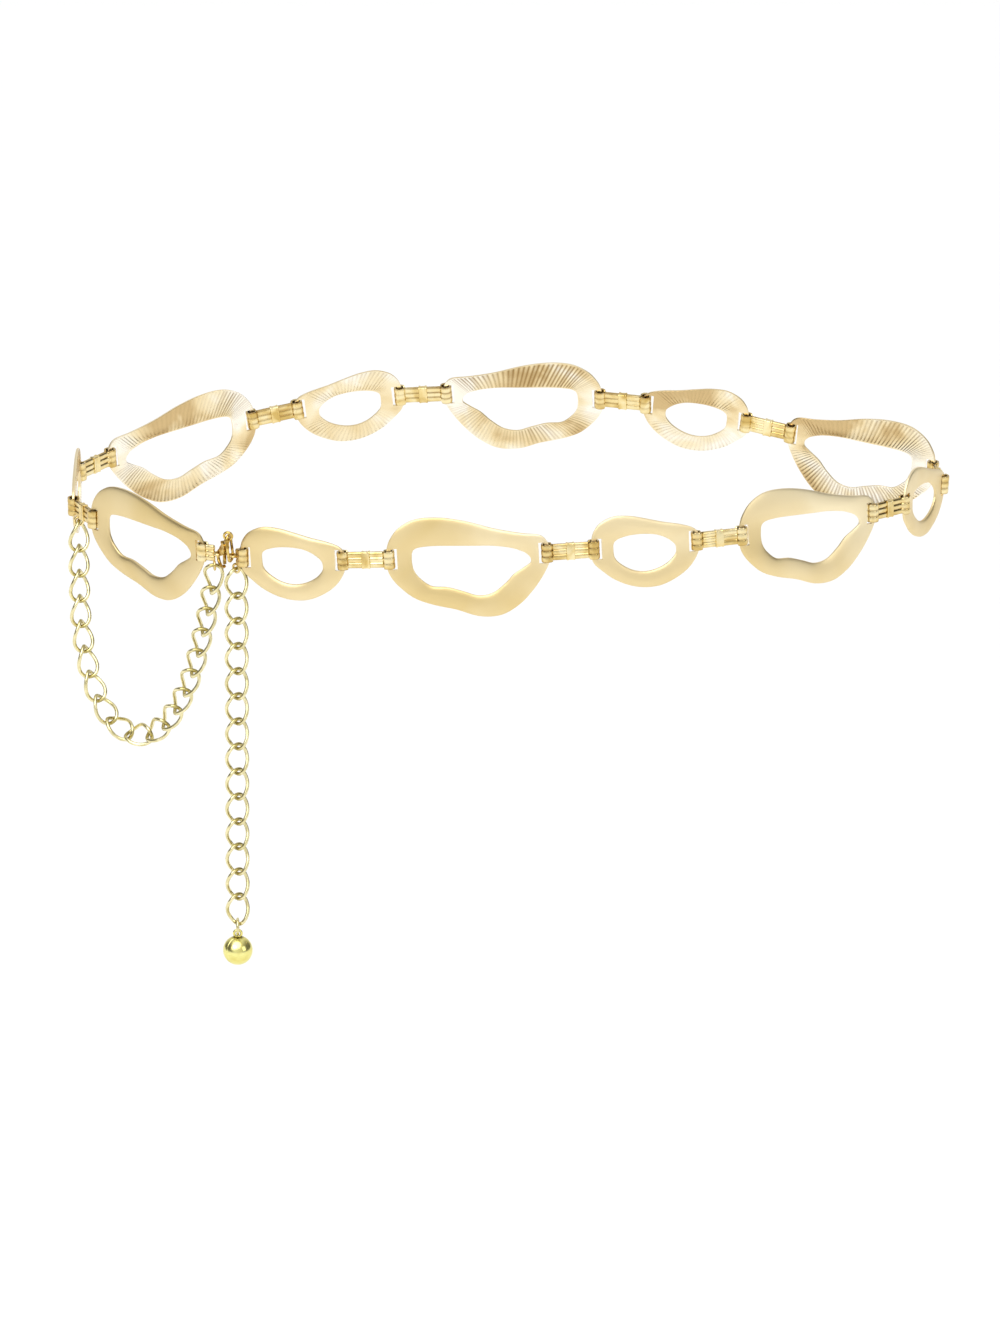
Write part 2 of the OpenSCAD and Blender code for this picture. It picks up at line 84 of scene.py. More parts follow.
def smooth(rows, s):
    """The point at s on a closed curve through the rows, s counted in rows."""
    i = math.floor(s)
    t = s - i
    a, b, c, d = (Vector(rows[(i + k) % len(rows)]) for k in (-1, 0, 1, 2))
    return 0.5 * (2 * b + (c - a) * t + (2 * a - 5 * b + 4 * c - d) * t * t
                  + (3 * b - a - 3 * c + d) * t * t * t)


def walk(curve, lengths, s):
    """Where each step of a given straight length ends along the curve."""
    out = [s]
    for length in lengths:
        start, lo, hi = curve(s), s, s + REACH
        for _ in range(BISECTIONS):
            mid = (lo + hi) / 2
            if (curve(mid) - start).length < length:
                lo = mid
            else:
                hi = mid
        s = (lo + hi) / 2
        out.append(s)
    return out


def fitted(make, lengths, start, end, lo, hi):
    """The size of a curve at which the last step ends at the given place."""
    for _ in range(BISECTIONS):
        mid = (lo + hi) / 2
        if walk(make(mid), lengths, start)[-1] > end:
            lo = mid
        else:
            hi = mid
    return (lo + hi) / 2


# %% Hinge points of the loop
LARGE_L, LARGE_H = 55.0, 36.0
SMALL_L, SMALL_H = 36.6, 26.4
CONNECTOR_L = 16.2
HALF_A_L, HALF_B_L = 5.0, 2.9
LOOP_R, LOOP_WIRE = 1.5, 1.0
LOOP_SINK = LOOP_WIRE / 4
LOOPS_APART = 5.8
CLOSURE_L = HALF_A_L + HALF_B_L + 2 * (LOOP_R - LOOP_SINK) + LOOPS_APART
HINGE_COUNT = 24
CLOSURE = HINGE_COUNT - 1
LEAST_SIZE, MOST_SIZE = 0.8, 1.3


def segment_length(i):
    """The straight length of a segment: plates and straps by turns, and the closure at the end."""
    if i == CLOSURE:
        return CLOSURE_L
    if i % 2 == 1:
        return CONNECTOR_L
    return LARGE_L if i % 4 == 2 else SMALL_L


SEGMENTS = [segment_length(i) for i in range(HINGE_COUNT)]


def guide(size):
    """The loop's route, made larger or smaller."""
    return lambda s: size * smooth(LOOP_ROUTE, s)


loop_curve = guide(fitted(guide, SEGMENTS, 0, len(LOOP_ROUTE), LEAST_SIZE, MOST_SIZE))
HINGES = [loop_curve(s) for s in walk(loop_curve, SEGMENTS, 0)]
loop_gap = (HINGES[-1] - HINGES[0]).length
print("hinges:", HINGE_COUNT, "gap at the end:", round(loop_gap, 4), "mm")

# %% [markdown]
# ## A frame on every segment
# Each plate and strap gets its own axes: x along the loop, z up, y to the inside of the waist. The
# ups lean in a little, turn with the sharp bends at both ends, and are evened out between
# neighbours, so that no strap has to twist hard between two plates.

# %% Frames
LEAN = math.radians(5)
STANDING = 0.6
UPS_PASSES = 4


def across(v, along):
    """The part of v that is square to a unit vector, made a unit vector."""
    return (v - along * v.dot(along)).normalized()


def frame_of(origin, x, z):
    """The matrix of a frame with the given origin, x and z."""
    y = z.cross(x)
    return Matrix([(x[k], y[k], z[k], origin[k]) for k in range(3)] + [(0, 0, 0, 1)])


ALONG = [(HINGES[i + 1] - HINGES[i]).normalized() for i in range(HINGE_COUNT)]


def first_up(i):
    """The up of a segment: it leans in, and turns with the bends at both its ends."""
    before, way, after = ALONG[i - 1], ALONG[i], ALONG[(i + 1) % HINGE_COUNT]
    inward = Vector((0, 0, 1)).cross(way).normalized()
    upright = Vector((0, 0, math.cos(LEAN))) + inward * math.sin(LEAN)
    return across(STANDING * upright + before.cross(way) + way.cross(after), way)


ups = [first_up(i) for i in range(HINGE_COUNT)]
for _ in range(UPS_PASSES):
    ups = [across(ups[i - 1] + 2 * ups[i] + ups[(i + 1) % HINGE_COUNT], ALONG[i])
           for i in range(HINGE_COUNT)]
FRAMES = [frame_of(HINGES[i], ALONG[i], ups[i]) for i in range(HINGE_COUNT)]
print("closure frame origin:", tuple(round(v, 3) for v in FRAMES[CLOSURE].translation))

# %% [markdown]
# ## How the metal looks
# Everything is plated metal in different polish. The plates' outer faces are satin, their ridged
# inner faces and the straps are bright, the clasp is a deeper amber, and the chains and the ball
# are a little greener. One helper builds them all: a metallic surface whose colour and polish are
# broken up by a soft noise on Object coordinates. On the ridged faces, the straps and the clasp,
# the dark and light patches of that colour are painted reflection. Painted shade darkens the
# grooves, the ends of the links where they meet, and the top of the ball under its loop. A second
# noise, also painted reflection, picks the patches in which that painted shade is strongest. An
# image of real metal would also work, but noise stays sharp at any distance.

# %% Gold finishes
NOISE_DETAIL, NOISE_BEND = 3.0, 0.6
NOISE_LOW, NOISE_HIGH = 0.3, 0.7
PATCH_GRAIN = 22
PATCH_LOW, PATCH_HIGH = 0.45, 0.62


def mapped(nodes, links, value, from_range, to_range):
    """A node that maps one range of a value to another. Gives its result."""
    change = nodes.new("ShaderNodeMapRange")
    change.inputs["From Min"].default_value, change.inputs["From Max"].default_value = from_range
    change.inputs["To Min"].default_value, change.inputs["To Max"].default_value = to_range
    links.new(value, change.inputs["Value"])
    return change.outputs["Result"]


def darkened(nodes, links, place, colour, painted_shade_colour, faintest):
    """The colour, gone towards a painted shade colour where the mesh's groove layer says so. A
    noise weakens that painted shade in patches, a painted reflection, down to the faintest share."""
    # Painted shade: the groove layer says where the colour darkens, and the patches, painted
    # reflection, say how much.
    groove = nodes.new("ShaderNodeAttribute")
    groove.attribute_name = "groove"
    patches = nodes.new("ShaderNodeTexNoise")
    patches.inputs["Scale"].default_value = PATCH_GRAIN
    links.new(place, patches.inputs["Vector"])
    strength = mapped(nodes, links, patches.outputs["Fac"],
                      (PATCH_LOW, PATCH_HIGH), (faintest, 1.0))
    share = nodes.new("ShaderNodeMath")
    share.operation = "MULTIPLY"
    links.new(groove.outputs["Fac"], share.inputs[0])
    links.new(strength, share.inputs[1])
    deep = nodes.new("ShaderNodeMix")
    deep.data_type = "RGBA"
    links.new(share.outputs["Value"], deep.inputs["Factor"])
    links.new(colour, deep.inputs["A"])
    deep.inputs["B"].default_value = (*painted_shade_colour, 1)
    return deep.outputs["Result"]


def gold(name, tones, polish, grain, painted_shade_colour=None, faintest=1.0):
    """A metallic finish. A soft noise picks the colour from the tones, given as (place, colour),
    and the roughness from polish, given as the least and the most."""
    material = bpy.data.materials.new(name)
    material.use_nodes = True
    nodes, links = material.node_tree.nodes, material.node_tree.links
    shader = nodes["Principled BSDF"]
    shader.inputs["Metallic"].default_value = 1.0
    shader.inputs["IOR"].default_value = 1.5
    place = nodes.new("ShaderNodeTexCoord")
    noise = nodes.new("ShaderNodeTexNoise")
    noise.inputs["Scale"].default_value = grain
    noise.inputs["Detail"].default_value = NOISE_DETAIL
    noise.inputs["Distortion"].default_value = NOISE_BEND
    links.new(place.outputs["Object"], noise.inputs["Vector"])
    ramp = nodes.new("ShaderNodeValToRGB")
    while len(ramp.color_ramp.elements) < len(tones):
        ramp.color_ramp.elements.new(0.5)
    for stop, (where, colour) in zip(ramp.color_ramp.elements, tones):
        stop.position, stop.color = where, (*colour, 1)
    links.new(noise.outputs["Fac"], ramp.inputs["Fac"])
    colour = ramp.outputs["Color"]
    # Painted shade: where the groove layer says so, the colour is darkened.
    if painted_shade_colour:
        colour = darkened(nodes, links, place.outputs["Object"], colour, painted_shade_colour, faintest)
    links.new(colour, shader.inputs["Base Color"])
    rough = mapped(nodes, links, noise.outputs["Fac"], (NOISE_LOW, NOISE_HIGH), polish)
    links.new(rough, shader.inputs["Roughness"])
    return material


SATIN = gold("satin_plate_gold",
             [(0.38, (0.76, 0.59, 0.28)), (0.50, (0.84, 0.69, 0.40)), (0.62, (0.91, 0.79, 0.53))],
             (0.38, 0.46), 14)
# Painted reflection: the brown to near-white tones, the streaks and the patches. Painted shade: the
# darker grooves.
RIDGED = gold("ridged_plate_gold",
              [(0.38, (0.62, 0.45, 0.22)), (0.46, (0.83, 0.67, 0.39)),
               (0.54, (0.91, 0.79, 0.54)), (0.62, (0.97, 0.92, 0.80))],
              (0.18, 0.28), 45, painted_shade_colour=(0.30, 0.18, 0.06), faintest=0.15)
# Painted reflection: the brown to pale tones and their patches. Painted shade: the darker colour
# between the ribs.
BRIGHT = gold("bright_strap_gold",
              [(0.36, (0.63, 0.44, 0.14)), (0.50, (0.84, 0.66, 0.30)), (0.64, (0.92, 0.79, 0.46))],
              (0.12, 0.22), 160, painted_shade_colour=(0.34, 0.20, 0.06), faintest=0.35)
# Painted reflection: the darkest tones of the clasp and its tail link, in small patches.
AMBER = gold("deep_clasp_gold",
             [(0.40, (0.26, 0.15, 0.03)), (0.50, (0.50, 0.32, 0.07)), (0.62, (0.76, 0.56, 0.18))],
             (0.10, 0.18), 300)
# Painted shade: the darker colour at the ends of each link, where the links meet.
CHAIN = gold("chain_gold_finish",
             [(0.36, (0.70, 0.62, 0.32)), (0.64, (0.92, 0.84, 0.52))],
             (0.16, 0.26), 300, painted_shade_colour=(0.50, 0.42, 0.16))
# Painted shade: the darker colour on the top of the ball, under its loop.
BALL = gold("ball_gold_finish",
            [(0.36, (0.78, 0.68, 0.20)), (0.64, (0.90, 0.84, 0.32))],
            (0.16, 0.22), 200, painted_shade_colour=(0.20, 0.16, 0.04))
print("finishes:", [m.name for m in (SATIN, RIDGED, BRIGHT, AMBER, CHAIN, BALL)])

# %% [markdown]
# ## From a spun ring to a piece
# Plates, straps, links and rings are all closed bands of metal, so they all start as the same
# thing: a circle spun once round an axis, like a doughnut. Every point then has a step number round
# the ring and a place number round its section, and a short rule moves it to the piece's form.
# The spin gives clean closed quads, which no list of faces written by hand would do as safely.

# %% Helpers for rings and pieces
RING_R = 3.0
SHARP = math.radians(38)


def spun_ring(steps, around):
    """A closed ring of quads. The number of points round its section is a multiple of four."""
    bm = bmesh.new()
    bmesh.ops.create_circle(bm, segments=around, radius=1.0)
    bmesh.ops.rotate(bm, verts=bm.verts, cent=(0, 0, 0),
                     matrix=Matrix.Rotation(math.pi / 2, 3, "X"))
    bmesh.ops.translate(bm, verts=bm.verts, vec=(RING_R, 0, 0))
    bmesh.ops.spin(bm, geom=bm.verts[:] + bm.edges[:], cent=(0, 0, 0), axis=(0, 0, 1),
                   dvec=(0, 0, 0), angle=TURN, steps=steps, use_merge=True)
    return bm


def outward(bm):
    """Turns every face outward. The sign of the volume settles it for a symmetric piece."""
    bmesh.ops.recalc_face_normals(bm, faces=bm.faces)
    if bm.calc_volume(signed=True) < 0:
        bmesh.ops.reverse_faces(bm, faces=bm.faces)
    bm.normal_update()
    return bm


def shaped(bm, steps, around, rule, layer=None):
    """Moves each point of a spun ring to rule(step, place), which also gives a layer's value."""
    for v in bm.verts:
        step = round(math.atan2(v.co.y, v.co.x) / TURN * steps) % steps
        off = math.hypot(v.co.x, v.co.y) - RING_R
        place = round(math.atan2(v.co.z, off) / TURN * around) % around
        if layer:
            v.co, v[layer] = rule(step, place)
        else:
            v.co = rule(step, place)
    return outward(bm)


def wire_ring(radius, wire, steps=40, around=12):
    """A plain ring of round wire that lies level."""
    def rule(step, place):
        a, b = TURN * step / steps, TURN * place / around
        reach = radius + wire / 2 * math.cos(b)
        return Vector((reach * math.cos(a), reach * math.sin(a), wire / 2 * math.sin(b)))
    return shaped(spun_ring(steps, around), steps, around, rule)


def add(target, source, matrix=Matrix()):
    """Copies one bmesh into another, moved by a matrix, and frees the source."""
    bmesh.ops.transform(source, matrix=matrix, verts=source.verts)
    mesh = bpy.data.meshes.new("part")
    source.to_mesh(mesh)
    source.free()
    target.from_mesh(mesh)
    bpy.data.meshes.remove(mesh)


def finished(bm, materials):
    """The bmesh as a mesh with smooth faces, and crisp edges where the metal turns sharply."""
    for face in bm.faces:
        face.smooth = True
    for edge in bm.edges:
        edge.smooth = len(edge.link_faces) == 2 and edge.calc_face_angle(0) < SHARP
    mesh = bpy.data.meshes.new("mesh")
    bm.to_mesh(mesh)
    bm.free()
    for material in materials:
        mesh.materials.append(material)
    return mesh


def piece(name, mesh, matrix, node, body="root"):
    """Puts a mesh in its place in metres, hides the solid it replaces, and hangs it on the body it
    rides on.
    """
    mesh.name = name
    mesh.transform(Matrix.Scale(MM, 4) @ matrix)
    thing = bpy.data.objects.new(name, mesh)
    bpy.context.scene.collection.objects.link(thing)
    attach(thing, body)
    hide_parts(node)
    return thing


print("spun rings start", RING_R, "mm from their axis")

# %% [markdown]
# ## The open plates
# A plate is a stamped band of irregular width with a large hole. Its outer side is a smooth satin
# dome. Its inner side, which shows on the far half of the loop, is cut with fine ridges that run
# from the hole to the edge, like the rays of a shell. A table gives the band's outline section by
# section, and a rounded section runs round it. The ridges are real relief in the mesh, six steps to
# a ridge, because they catch the light along their whole length. A bump on a flat band would give
# the shading alone.

# %% Outlines of the plates
RIM_W, SLOT_W, SLOT_H = 1.6, 2.1, 7.5
PLATE_T, DOME_H = 1.1, 0.5

# Outer edge along and up, inner edge along and up, dome. Along is a share of the whole length, up a
# share of the height, and dome a share of DOME_H. Rows run over the top and back below.
LARGE_RING = [
    (0.000, 0.045, 0.156, 0.020, 0.0), (0.003, 0.105, 0.158, 0.050, 0.1),
    (0.026, 0.200, 0.170, 0.084, 0.5), (0.084, 0.308, 0.206, 0.106, 0.9),
    (0.187, 0.386, 0.290, 0.114, 1.0), (0.330, 0.394, 0.410, 0.108, 1.0),
    (0.493, 0.347, 0.531, 0.100, 1.0), (0.670, 0.261, 0.654, 0.092, 1.0),
    (0.829, 0.206, 0.764, 0.064, 0.9), (0.945, 0.178, 0.841, 0.019, 0.4),
    (0.990, 0.110, 0.872, -0.020, 0.1), (1.000, 0.045, 0.882, -0.045, 0.0),
    (1.000, -0.045, 0.884, -0.068, 0.0), (0.994, -0.108, 0.877, -0.095, 0.1),
    (0.953, -0.228, 0.836, -0.139, 0.5), (0.888, -0.367, 0.774, -0.200, 0.9),
    (0.799, -0.505, 0.717, -0.289, 1.0), (0.684, -0.600, 0.638, -0.378, 1.0),
    (0.551, -0.603, 0.549, -0.397, 1.0), (0.411, -0.528, 0.460, -0.350, 1.0),
    (0.269, -0.469, 0.365, -0.303, 1.0), (0.156, -0.394, 0.267, -0.283, 1.0),
    (0.066, -0.272, 0.198, -0.200, 0.8), (0.020, -0.175, 0.166, -0.125, 0.4),
    (0.003, -0.105, 0.157, -0.065, 0.1), (0.000, -0.045, 0.155, -0.022, 0.0),
]
SMALL_RING = [
    (0.000, 0.060, 0.204, 0.020, 0.0), (0.004, 0.140, 0.208, 0.055, 0.1),
    (0.030, 0.245, 0.222, 0.085, 0.5), (0.095, 0.350, 0.262, 0.118, 0.9),
    (0.219, 0.420, 0.345, 0.146, 1.0), (0.369, 0.409, 0.440, 0.155, 1.0),
    (0.518, 0.356, 0.528, 0.148, 1.0), (0.668, 0.295, 0.606, 0.129, 1.0),
    (0.822, 0.245, 0.683, 0.083, 0.8), (0.935, 0.190, 0.742, 0.023, 0.4),
    (0.988, 0.125, 0.773, -0.025, 0.1), (1.000, 0.055, 0.781, -0.060, 0.0),
    (1.000, -0.055, 0.783, -0.095, 0.0), (0.994, -0.125, 0.780, -0.132, 0.1),
    (0.955, -0.245, 0.762, -0.178, 0.5), (0.882, -0.370, 0.712, -0.250, 0.9),
    (0.770, -0.480, 0.634, -0.312, 1.0), (0.626, -0.560, 0.538, -0.350, 1.0),
    (0.469, -0.568, 0.444, -0.348, 1.0), (0.322, -0.515, 0.356, -0.308, 1.0),
    (0.193, -0.420, 0.281, -0.240, 1.0), (0.095, -0.305, 0.232, -0.175, 0.8),
    (0.030, -0.215, 0.212, -0.125, 0.4), (0.004, -0.140, 0.206, -0.080, 0.1),
    (0.000, -0.060, 0.204, -0.030, 0.0),
]
print("plate sections:", len(LARGE_RING), len(SMALL_RING))

# %% The band of a plate
PLATE_AROUND = 24
EDGE_POWER = 0.35
RIDGE_STEPS = 6
GROOVE = (1.0, 0.45, 0.12, 0.0, 0.12, 0.45)
GROOVE_DEPTH = 0.13
FULL_RIDGE = 1.1
# Strength and step of the painted reflection streaks, which change from ridge to ridge.
PAINTED_STREAK, PAINTED_STREAK_STEP = 0.3, 2.4
PLAIN_RIM = 0.93
PLAIN_SIDE, PLAIN_END, RIDGE_FADE = 0.6, 0.5, 1.2
INNER_FACING = 0.2


def powered(v, power):
    """A power of a number that keeps the number's sign."""
    return math.copysign(abs(v) ** power, v)


def ridge_share(reach, x, z, length):
    """How much of a groove's depth is left: none on the rims and round the slots."""
    if abs(reach) > PLAIN_RIM:
        return 0.0
    end = min(x, length - x)
    near = max((end - RIM_W / 2 - SLOT_W - PLAIN_SIDE) / RIDGE_FADE,
               (abs(z) - SLOT_H / 2 - PLAIN_END) / RIDGE_FADE)
    return max(0.0, min(1.0, near))


def plate_band(ring, length, height, ridges):
    """The band of a plate before its slots are cut."""
    steps = ridges * RIDGE_STEPS
    whole = length + RIM_W
    rows = [smooth(ring, i * len(ring) / steps) for i in range(steps)]

    def ridge_size(step):
        """How wide a ridge is here against a full one, so that crowded ridges are shallow."""
        row, after = rows[step], rows[(step + RIDGE_STEPS) % steps]
        wide = math.hypot((after[0] + after[2] - row[0] - row[2]) * whole,
                          (after[1] + after[3] - row[1] - row[3]) * height) / 2
        return min(1.0, (wide / FULL_RIDGE) ** 2)

    sizes = [ridge_size(step) for step in range(steps)]

    def rule(step, place):
        row = rows[step]
        angle = TURN * place / PLATE_AROUND
        reach = powered(math.cos(angle), EDGE_POWER)
        side = powered(math.sin(angle), EDGE_POWER) if place % (PLATE_AROUND // 2) else 0.0
        share = (1 - reach) / 2
        x = (row[0] + (row[2] - row[0]) * share) * whole - RIM_W / 2
        z = (row[1] + (row[3] - row[1]) * share) * height
        y = PLATE_T / 2 * side - row[4] * DOME_H * (1 - reach * reach)
        depth = colour = 0.0
        if side > 0:
            left = ridge_share(reach, x, z, length) * sizes[step]
            depth = GROOVE[step % RIDGE_STEPS] * left
            # Painted shade as deep as each groove, and painted reflection in streaks, go to the
            # groove layer.
            painted_streak = max(0.0, math.sin(PAINTED_STREAK_STEP * (step // RIDGE_STEPS)))
            colour = min(1.0, depth + PAINTED_STREAK * painted_streak * left)
        return Vector((x, y - GROOVE_DEPTH * depth, z)), colour

    bm = spun_ring(steps, PLATE_AROUND)
    layer = bm.verts.layers.float.new("groove")
    shaped(bm, steps, PLATE_AROUND, rule, layer)
    for face in bm.faces:
        face.material_index = 1 if face.normal.y > INNER_FACING else 0
    return bm


# %% [markdown]
# ## Slots in the plates
# A strap passes through a slot at each end of a plate. The slot is cut with four planes, the faces
# inside are taken out of both skins, and the two openings are bridged. A Boolean would do it too,
# but it leaves thin slivers across the ridges.

# %% Cut the slots
CUT_MARGIN = 1.5
CUT_SNAP = 1e-4


def faces_within(bm, low_x, high_x, half, margin):
    """The faces whose middles are in a slot, or no more than a margin from it."""
    found = []
    for face in bm.faces:
        middle = face.calc_center_median()
        if low_x - margin < middle.x < high_x + margin and abs(middle.z) < half + margin:
            found.append(face)
    return found


def cut_slot(bm, low_x, high_x):
    half = SLOT_H / 2
    for point, normal in (((low_x, 0, 0), (1, 0, 0)), ((high_x, 0, 0), (1, 0, 0)),
                          ((0, 0, -half), (0, 0, 1)), ((0, 0, half), (0, 0, 1))):
        near = faces_within(bm, low_x, high_x, half, CUT_MARGIN)
        edges = {e for f in near for e in f.edges}
        verts = {v for f in near for v in f.verts}
        bmesh.ops.bisect_plane(bm, geom=list(verts) + list(edges) + near, dist=CUT_SNAP,
                               plane_co=point, plane_no=normal)
    inside = faces_within(bm, low_x, high_x, half, 0)
    bmesh.ops.delete(bm, geom=inside, context="FACES")
    rim = [e for e in bm.edges if e.is_boundary]
    bmesh.ops.bridge_loops(bm, edges=rim)


def plate_mesh(ring, length, height, ridges):
    """A plate with both its slots, satin outside and ridged inside."""
    bm = plate_band(ring, length, height, ridges)
    cut_slot(bm, RIM_W / 2, RIM_W / 2 + SLOT_W)
    cut_slot(bm, length - RIM_W / 2 - SLOT_W, length - RIM_W / 2)
    return finished(outward(bm), (SATIN, RIDGED))


LARGE_RIDGES, SMALL_RIDGES = 132, 88
PLATES_EACH = 6
large_plate = plate_mesh(LARGE_RING, LARGE_L, LARGE_H, LARGE_RIDGES)
small_plate = plate_mesh(SMALL_RING, SMALL_L, SMALL_H, SMALL_RIDGES)
for k in range(1, PLATES_EACH + 1):
    piece(f"open_plate_large_{k}", large_plate.copy(), FRAMES[4 * k - 2],
          f"plate_large_{k}")
    piece(f"open_plate_small_{k}", small_plate.copy(), FRAMES[4 * k - 4],
          f"plate_small_{k}")
print("faces of a large and a small plate:", len(large_plate.polygons), len(small_plate.polygons))

# %% [markdown]
# ## The ribbed straps
# A strap is one strip of metal, pressed into three rounded ribs, folded through the slots of two
# plates so that it rolls round both rims, and held shut by a collar at its middle. The strip's
# middle line is a closed path: two eyes joined by two straight runs. Its ribbed section travels
# along that path. A flat bar with two tubes would look the same from afar, but the ribs would stop
# at the eyes, and on the real one they run right round them.

# %% The folded strip
STRAP_H, STRAP_T = 6.4, 1.5
STRIP_T = 0.7
EYE_MID_R = 1.8
RUN_Y = (STRAP_T - STRIP_T) / 2
FILLET_R = 0.8
RIBS, RIB_POWER, RIB_DEPTH = 3, 0.5, 0.26
EYE_RIBS = 0.5
RUN_SHARE = 0.88
INNER_SHARE = 0.48
RIB_POINTS = 25
INNER_POINTS = 7
FILLET_POINTS, EYE_POINTS, FOLD_POINTS = 5, 26, 6
STRIP_AROUND = RIB_POINTS + INNER_POINTS


def strip_section():
    """Places round the strip's section as (up, out, groove): three ribs outside, flat inside."""
    out = []
    for k in range(RIB_POINTS):
        share = k / (RIB_POINTS - 1)
        rib = abs(math.sin(RIBS * math.pi * share)) ** RIB_POWER
        out.append(((share - 0.5) * STRAP_H, STRIP_T / 2, RIB_DEPTH * (1 - rib)))
    for k in range(INNER_POINTS):
        up = (INNER_SHARE - 2 * INNER_SHARE * k / (INNER_POINTS - 1)) * STRAP_H
        out.append((up, -STRIP_T / 2, 0.0))
    return out


def arc(cx, cy, radius, start, end, count, facing, ribs):
    """Points on an arc, as (x, y, out x, out y, share of ribs). Facing is 1, or -1 where the
    strip's outer side looks to the arc's middle."""
    made = []
    for k in range(count):
        a = start + (end - start) * k / count
        made.append((cx + radius * math.cos(a), cy + radius * math.sin(a),
                     facing * math.cos(a), facing * math.sin(a), ribs))
    return made


def eye_path():
    """From the lower run, round the eye at the origin, to the upper run."""
    up = RUN_Y + FILLET_R
    fillet_x = math.sqrt((EYE_MID_R + FILLET_R) ** 2 - up ** 2)
    lift = math.atan2(up, fillet_x)
    return (arc(fillet_x, -up, FILLET_R, math.pi / 2, math.pi - lift, FILLET_POINTS, -1, 1.0)
            + arc(0, 0, EYE_MID_R, -lift, lift - TURN, EYE_POINTS, 1, EYE_RIBS)
            + arc(fillet_x, up, FILLET_R, lift - math.pi, -math.pi / 2, FILLET_POINTS, -1, 1.0)
            + [(fillet_x, RUN_Y, 0, 1, 1.0)])


def strip_path(length, both):
    """The closed middle line of a strap between two eyes, or of one that is folded at its end."""
    left = eye_path()
    if both:
        right = [(length - x, -y, -nx, -ny, ribs) for x, y, nx, ny, ribs in left]
        return left + right
    fold_x = length - STRIP_T / 2 - RUN_Y
    return (left + arc(fold_x, 0, RUN_Y, math.pi / 2, -math.pi / 2, FOLD_POINTS, 1, 1.0)
            + [(fold_x, -RUN_Y, 0, -1, 1.0)])


def folded_strip(length, both=True):
    """The ribbed strip along its path. It is narrower on the runs than round the eyes."""
    path, section = strip_path(length, both), strip_section()

    def rule(step, place):
        x, y, nx, ny, ribs = path[step]
        up, out, groove = section[place]
        out -= groove * ribs
        width = 1 if ribs < 1 else RUN_SHARE
        spot = Vector((x + nx * out, y + ny * out, up * width))
        # The groove layer gets painted shade, deepest between the ribs.
        return spot, groove / RIB_DEPTH

    bm = spun_ring(len(path), STRIP_AROUND)
    layer = bm.verts.layers.float.new("groove")
    return shaped(bm, len(path), STRIP_AROUND, rule, layer)


# %% Collar and straps
COLLAR_T, COLLAR_H, COLLAR_BEND = 2.4, 6.2, 0.5
CORNER_POINTS = 6
CORNER_TURN = CORNER_POINTS / (CORNER_POINTS - 1)
# Half of the collar's section, from its edge to its middle: along the strap, and out
COLLAR_HALF = [(1.50, -0.45), (1.50, -0.20), (1.38, -0.04), (1.15, 0.00),
               (0.90, -0.05), (0.75, -0.14), (0.40, -0.16), (0.10, -0.16)]


def collar():
    """A band wrapped round the strap, with a raised bead along each edge."""
    y, z = COLLAR_T / 2 - COLLAR_BEND, COLLAR_H / 2 - COLLAR_BEND
    corners = ((y, z, 0), (-y, z, 1), (-y, -z, 2), (y, -z, 3))
    path = []
    for cy, cz, quarter in corners:
        path += arc(cy, cz, COLLAR_BEND, quarter * math.pi / 2,
                    (quarter + CORNER_TURN) * math.pi / 2, CORNER_POINTS, 1, 1.0)
    section = COLLAR_HALF + [(-x, out) for x, out in reversed(COLLAR_HALF)]

    def rule(step, place):
        py, pz, ny, nz, _ = path[step]
        x, out = section[place]
        return Vector((x, py + ny * out, pz + nz * out))

    return shaped(spun_ring(len(path), len(section)), len(path), len(section), rule)


def strap_mesh(extra=()):
    """A strap with its collar, and with further parts given as (bmesh, matrix)."""
    bm = folded_strip(CONNECTOR_L)
    add(bm, collar(), Matrix.Translation((CONNECTOR_L / 2, 0, 0)))
    for part, matrix in extra:
        add(bm, part, matrix)
    return finished(bm, (BRIGHT,))


print("collar section:", 2 * len(COLLAR_HALF), "points")

# %% [markdown]
# ## Chains, and what they hang from
# Both chains are curb chains: oval links of round wire, each half twisted by an eighth of a turn,
# so that the links lie flat beside each other. One link is a ring whose points follow a twisted
# oval. The swag hangs between two eyelets soldered under the straps, and the hanging chain from a
# third. The swag follows its own route of shares, fitted in depth to the number of its links, as in
# the source. An array on a curve would be quicker, but its links wouldn't meet at their pitch.

# %% Where the links are
EYELET_R, EYELET_WIRE, EYELET_PLAY, EYELET_SINK = 1.5, 0.9, 0.35, 0.25
PITCH, WIRE, LINK_W, LINK_PLAY = 9.36, 1.3, 8.5, 0.3
SWAG_LINKS, SWAG_SLACK, DROP_LINKS = 19, 0.4, 14
SWAG_START_X = 4.0
SWAG_TURN = math.radians(40)
SWAG_END_X = HALF_A_L - EYELET_WIRE / 2
DROP_X = CLOSURE_L - HALF_B_L
EYELET_DROP = STRAP_H / 2 + EYELET_R - EYELET_SINK
MEET_DROP = EYELET_DROP + EYELET_R - EYELET_WIRE / 2 - EYELET_PLAY + LINK_PLAY / 2
SWAG_LEAST, SWAG_MOST = 10, 200
